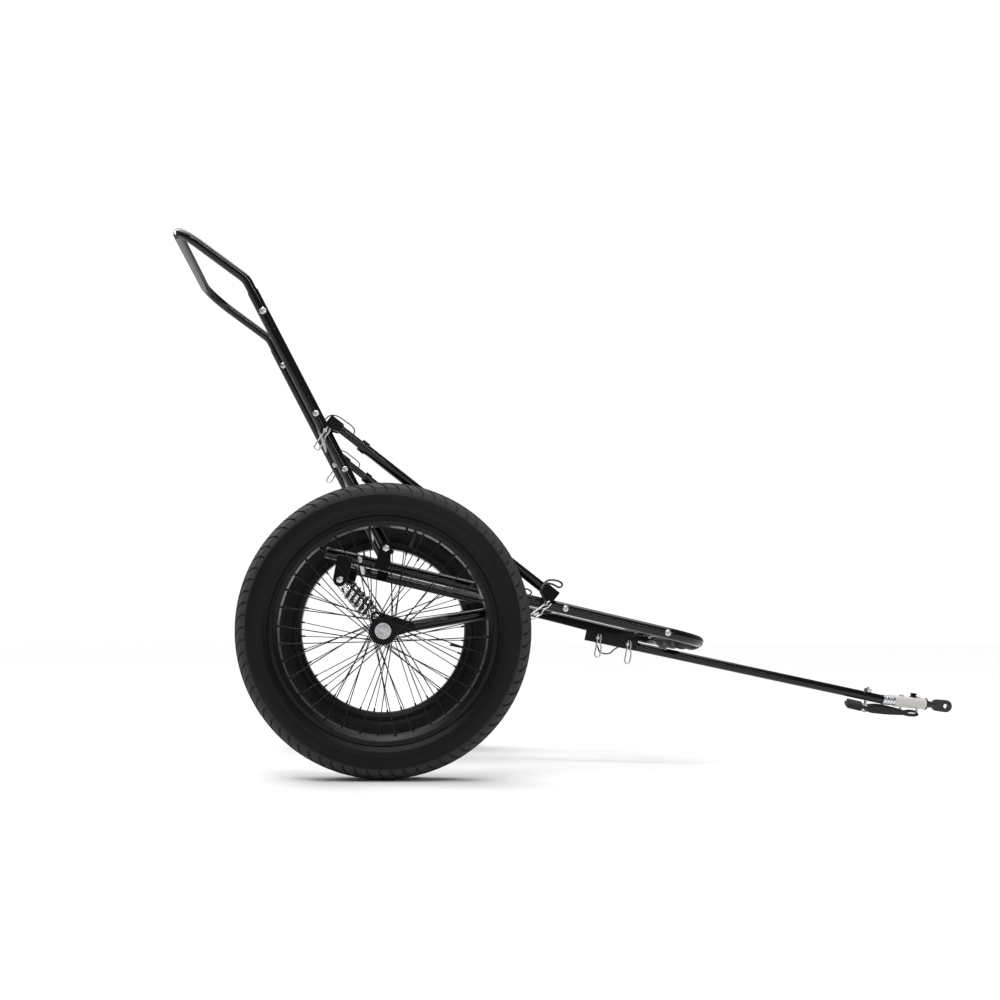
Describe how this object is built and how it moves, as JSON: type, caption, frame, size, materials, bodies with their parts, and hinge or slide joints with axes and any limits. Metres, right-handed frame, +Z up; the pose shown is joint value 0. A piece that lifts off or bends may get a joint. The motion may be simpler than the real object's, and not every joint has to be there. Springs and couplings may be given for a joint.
{
  "type": "bicycle cargo trailer frame",
  "caption": "Folding two-wheel bike trailer frame with fat spoked wheels, sprung swing arms, a raked push handle, telescoping braces and a tongue hitch.",
  "frame": {"origin": "on the ground under the middle of the trailer's length and width, wheels standing on the ground", "axes": "+X forward to the hitch, +Y to the trailer's left, +Z up; the deck slopes down to the hitch as it is towed"},
  "size_m": [1.627, 0.725, 1.0715],
  "materials": {
    "black_powder_coat": "gloss black powder coat",
    "tyre_rubber": "moulded tyre rubber",
    "tube_rubber": "butyl",
    "wheel_black": "black anodised and painted",
    "zinc_steel": "bright zinc plate",
    "chromed_steel": "chrome plate",
    "spring_black": "gloss black",
    "coated_cable": "plastic-coated wire rope",
    "black_plastic": "moulded",
    "grip_rubber": "moulded",
    "strap_webbing": "woven webbing",
    "grey_polymer": "moulded, satin",
    "hitch_black": "satin black"
  },
  "bodies": {
    "trailer_frame": {"deck_frame": "black_powder_coat", "deck_crossbars": "black_powder_coat", "deck_fasteners": "zinc_steel", "deck_brackets": "black_powder_coat", "rail_plugs": "black_plastic", "front_grip": "grip_rubber", "tongue_receiver": "black_powder_coat", "tongue_tube": "black_powder_coat", "tongue_pins": "zinc_steel", "tongue_lanyard": "coated_cable", "eye_bolt": "zinc_steel", "safety_strap": "strap_webbing", "coupler_stub": "zinc_steel", "coupler_sleeve": "grey_polymer", "coupler_rear_pin": "zinc_steel"},
    "back_frame": {"right_back_tube": "black_powder_coat", "left_back_tube": "black_powder_coat", "back_crossbars": "black_powder_coat", "back_fasteners": "zinc_steel", "handle": "black_powder_coat"},
    "coupler_front": {"coupler_front_pin": "zinc_steel", "swivel_socket": "hitch_black"},
    "hitch": {"hitch_tab": "hitch_black"},
    "right_arm": {"right_swing_arm": "black_powder_coat", "right_axle": "zinc_steel", "right_shock_bolt": "zinc_steel"},
    "right_wheel": {"right_tyre": "tyre_rubber", "right_inner_tube": "tube_rubber", "right_rim": "wheel_black", "right_hub": "wheel_black", "right_spokes": "wheel_black", "right_bearings": "zinc_steel"},
    "right_shock_upper": {"right_shock_body": "chromed_steel", "right_shock_spring": "spring_black"},
    "right_shock_lower": {"right_shock_rod": "chromed_steel"},
    "right_brace_outer": {"right_brace_lower": "black_powder_coat", "right_brace_lower_pin": "zinc_steel", "right_lower_lanyard": "coated_cable"},
    "right_brace_inner": {"right_brace_upper": "black_powder_coat", "right_brace_upper_pin": "zinc_steel", "right_upper_lanyard": "coated_cable"},
    "left_arm": {"left_swing_arm": "black_powder_coat", "left_axle": "zinc_steel", "left_shock_bolt": "zinc_steel"},
    "left_wheel": {"left_tyre": "tyre_rubber", "left_inner_tube": "tube_rubber", "left_rim": "wheel_black", "left_hub": "wheel_black", "left_spokes": "wheel_black", "left_bearings": "zinc_steel"},
    "left_shock_upper": {"left_shock_body": "chromed_steel", "left_shock_spring": "spring_black"},
    "left_shock_lower": {"left_shock_rod": "chromed_steel"},
    "left_brace_outer": {"left_brace_lower": "black_powder_coat", "left_brace_lower_pin": "zinc_steel", "left_lower_lanyard": "coated_cable"},
    "left_brace_inner": {"left_brace_upper": "black_powder_coat", "left_brace_upper_pin": "zinc_steel", "left_upper_lanyard": "coated_cable"}
  },
  "joints": [
    {"name": "back_recline", "type": "hinge", "parent": "trailer_frame", "child": "back_frame", "pos_m": [-0.39229, 0, 0.4366], "axis": [0, 1, 0], "range_deg": [-12, 10]},
    {"name": "right_arm_travel", "type": "hinge", "parent": "trailer_frame", "child": "right_arm", "pos_m": [-0.15333, -0.232, 0.31867], "axis": [0, 1, 0], "range_deg": [0, 7.5], "stiffness_Nm_per_rad": 500, "springref_deg": -1.72, "deforming": ["right_shock_spring"]},
    {"name": "right_wheel_spin", "type": "hinge", "parent": "right_arm", "child": "right_wheel", "pos_m": [-0.39791, -0.31, 0.277], "axis": [0, 1, 0], "continuous": true},
    {"name": "right_shock_tilt", "type": "hinge", "parent": "trailer_frame", "child": "right_shock_upper", "pos_m": [-0.48131, -0.232, 0.376], "axis": [0, 1, 0], "range_deg": [-16.2, 0]},
    {"name": "right_rod_tilt", "type": "hinge", "parent": "right_arm", "child": "right_shock_lower", "pos_m": [-0.41101, -0.232, 0.3035], "axis": [0, 1, 0], "range_deg": [-23.7, 0]},
    {"name": "right_brace_swing", "type": "hinge", "parent": "trailer_frame", "child": "right_brace_outer", "pos_m": [-0.08554, -0.232, 0.32934], "axis": [0, 1, 0], "range_deg": [-5.2, 4.4]},
    {"name": "right_brace_extend", "type": "slide", "parent": "right_brace_outer", "child": "right_brace_inner", "axis": [-0.7865, 0, 0.6175], "range_m": [-0.018, 0.0216]},
    {"name": "left_arm_travel", "type": "hinge", "parent": "trailer_frame", "child": "left_arm", "pos_m": [-0.15333, 0.232, 0.31867], "axis": [0, 1, 0], "range_deg": [0, 7.5], "stiffness_Nm_per_rad": 500, "springref_deg": -1.72, "deforming": ["left_shock_spring"]},
    {"name": "left_wheel_spin", "type": "hinge", "parent": "left_arm", "child": "left_wheel", "pos_m": [-0.39791, 0.31, 0.277], "axis": [0, 1, 0], "continuous": true},
    {"name": "left_shock_tilt", "type": "hinge", "parent": "trailer_frame", "child": "left_shock_upper", "pos_m": [-0.48131, 0.232, 0.376], "axis": [0, 1, 0], "range_deg": [-16.2, 0]},
    {"name": "left_rod_tilt", "type": "hinge", "parent": "left_arm", "child": "left_shock_lower", "pos_m": [-0.41101, 0.232, 0.3035], "axis": [0, 1, 0], "range_deg": [-23.7, 0]},
    {"name": "left_brace_swing", "type": "hinge", "parent": "trailer_frame", "child": "left_brace_outer", "pos_m": [-0.08554, 0.232, 0.32934], "axis": [0, 1, 0], "range_deg": [-5.2, 4.4]},
    {"name": "left_brace_extend", "type": "slide", "parent": "left_brace_outer", "child": "left_brace_inner", "axis": [-0.7865, 0, 0.6175], "range_m": [-0.018, 0.0216]},
    {"name": "coupler_flex", "type": "hinge", "parent": "trailer_frame", "child": "coupler_front", "pos_m": [0.72442, 0, 0.12487], "axis": [0.1045, 0, 0.9945], "range_deg": [-25, 25], "stiffness_Nm_per_rad": 12, "deforming": ["coupler_sleeve"]},
    {"name": "hitch_swivel", "type": "hinge", "parent": "coupler_front", "child": "hitch", "pos_m": [0.75724, 0, 0.12142], "axis": [0.9945, 0, -0.1045], "continuous": true}
  ],
  "couplings": [
    {"joint": "right_shock_tilt", "follows": "right_arm_travel", "ratio": -2.15},
    {"joint": "right_rod_tilt", "follows": "right_arm_travel", "ratio": -3.15},
    {"joint": "right_brace_swing", "follows": "back_recline", "ratio": 0.429},
    {"joint": "right_brace_extend", "follows": "back_recline", "m_per_rad": -0.10256},
    {"joint": "left_shock_tilt", "follows": "left_arm_travel", "ratio": -2.15},
    {"joint": "left_rod_tilt", "follows": "left_arm_travel", "ratio": -3.15},
    {"joint": "left_brace_swing", "follows": "back_recline", "ratio": 0.429},
    {"joint": "left_brace_extend", "follows": "back_recline", "m_per_rad": -0.10256}
  ]
}
